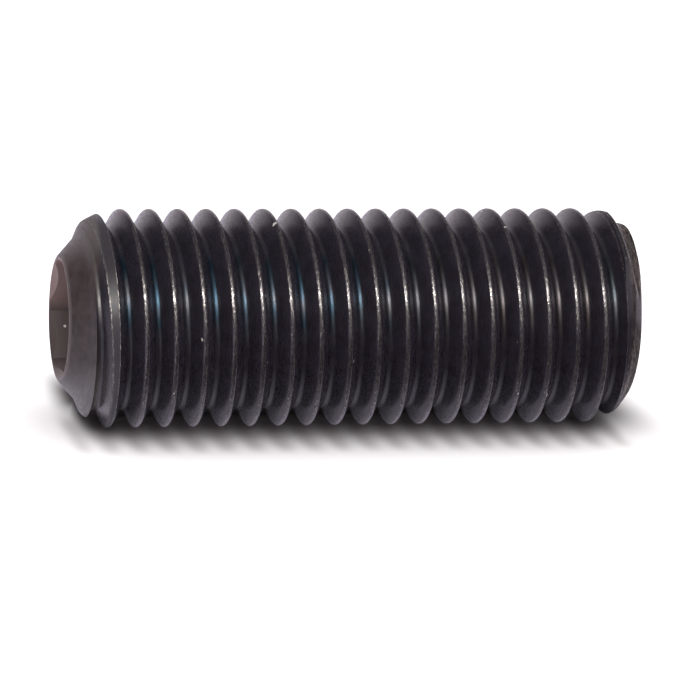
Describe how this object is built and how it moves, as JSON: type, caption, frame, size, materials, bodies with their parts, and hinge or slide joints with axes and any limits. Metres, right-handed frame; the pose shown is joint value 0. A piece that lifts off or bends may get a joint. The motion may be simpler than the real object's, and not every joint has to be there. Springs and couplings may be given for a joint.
{
  "type": "grub set screw",
  "caption": "Headless set screw in black-oxide steel: full-length right-hand thread, hex socket at one end and cup point at the other.",
  "frame": {"origin": "centre of the cup's rim, at the foot of the screw standing on its point", "axes": "+Z along the screw's axis from the point to the socket end; +X towards the side that is uppermost in the picture"},
  "size_m": [0.019, 0.019, 0.0505],
  "materials": {
    "black_oxide_steel": "satin black oxide, with bare bright steel on the worn crests"
  },
  "bodies": {
    "root": {"set_screw": "black_oxide_steel"}
  },
  "joints": []
}
